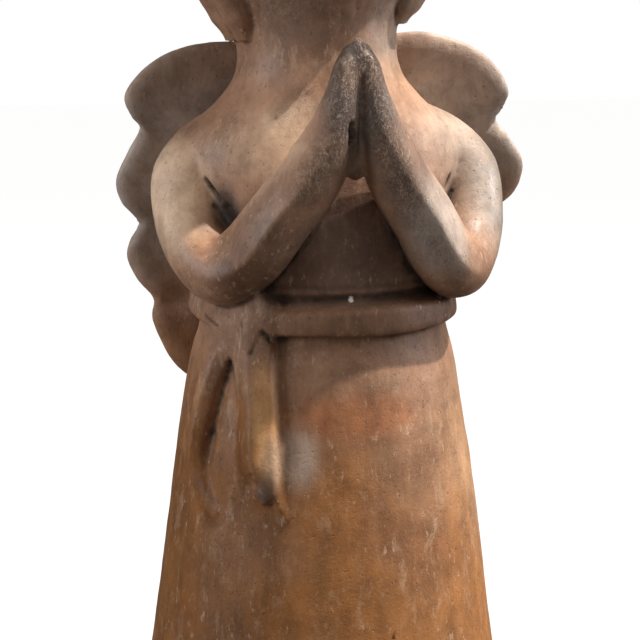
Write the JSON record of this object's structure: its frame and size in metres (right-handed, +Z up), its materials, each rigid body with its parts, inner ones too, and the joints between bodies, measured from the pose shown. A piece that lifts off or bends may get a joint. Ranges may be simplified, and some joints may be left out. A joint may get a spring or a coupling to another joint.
{
  "type": "terracotta angel",
  "caption": "Hand-built terracotta angel praying: smooth conical gown, knotted sash with hanging ends, lobed wings on the back and thick locks of hair, on a low round base.",
  "frame": {"origin": "centre of the flat underside of the base", "axes": "+Z up, the figure faces -Y, and +X is towards the figure's own left"},
  "size_m": [0.185, 0.185, 0.4991],
  "materials": {
    "terracotta": "fired red-brown clay, smoothed and lightly waxed, satin, with grey smoke shades and pale scuffs"
  },
  "bodies": {
    "root": {"angel": "terracotta"}
  },
  "joints": []
}
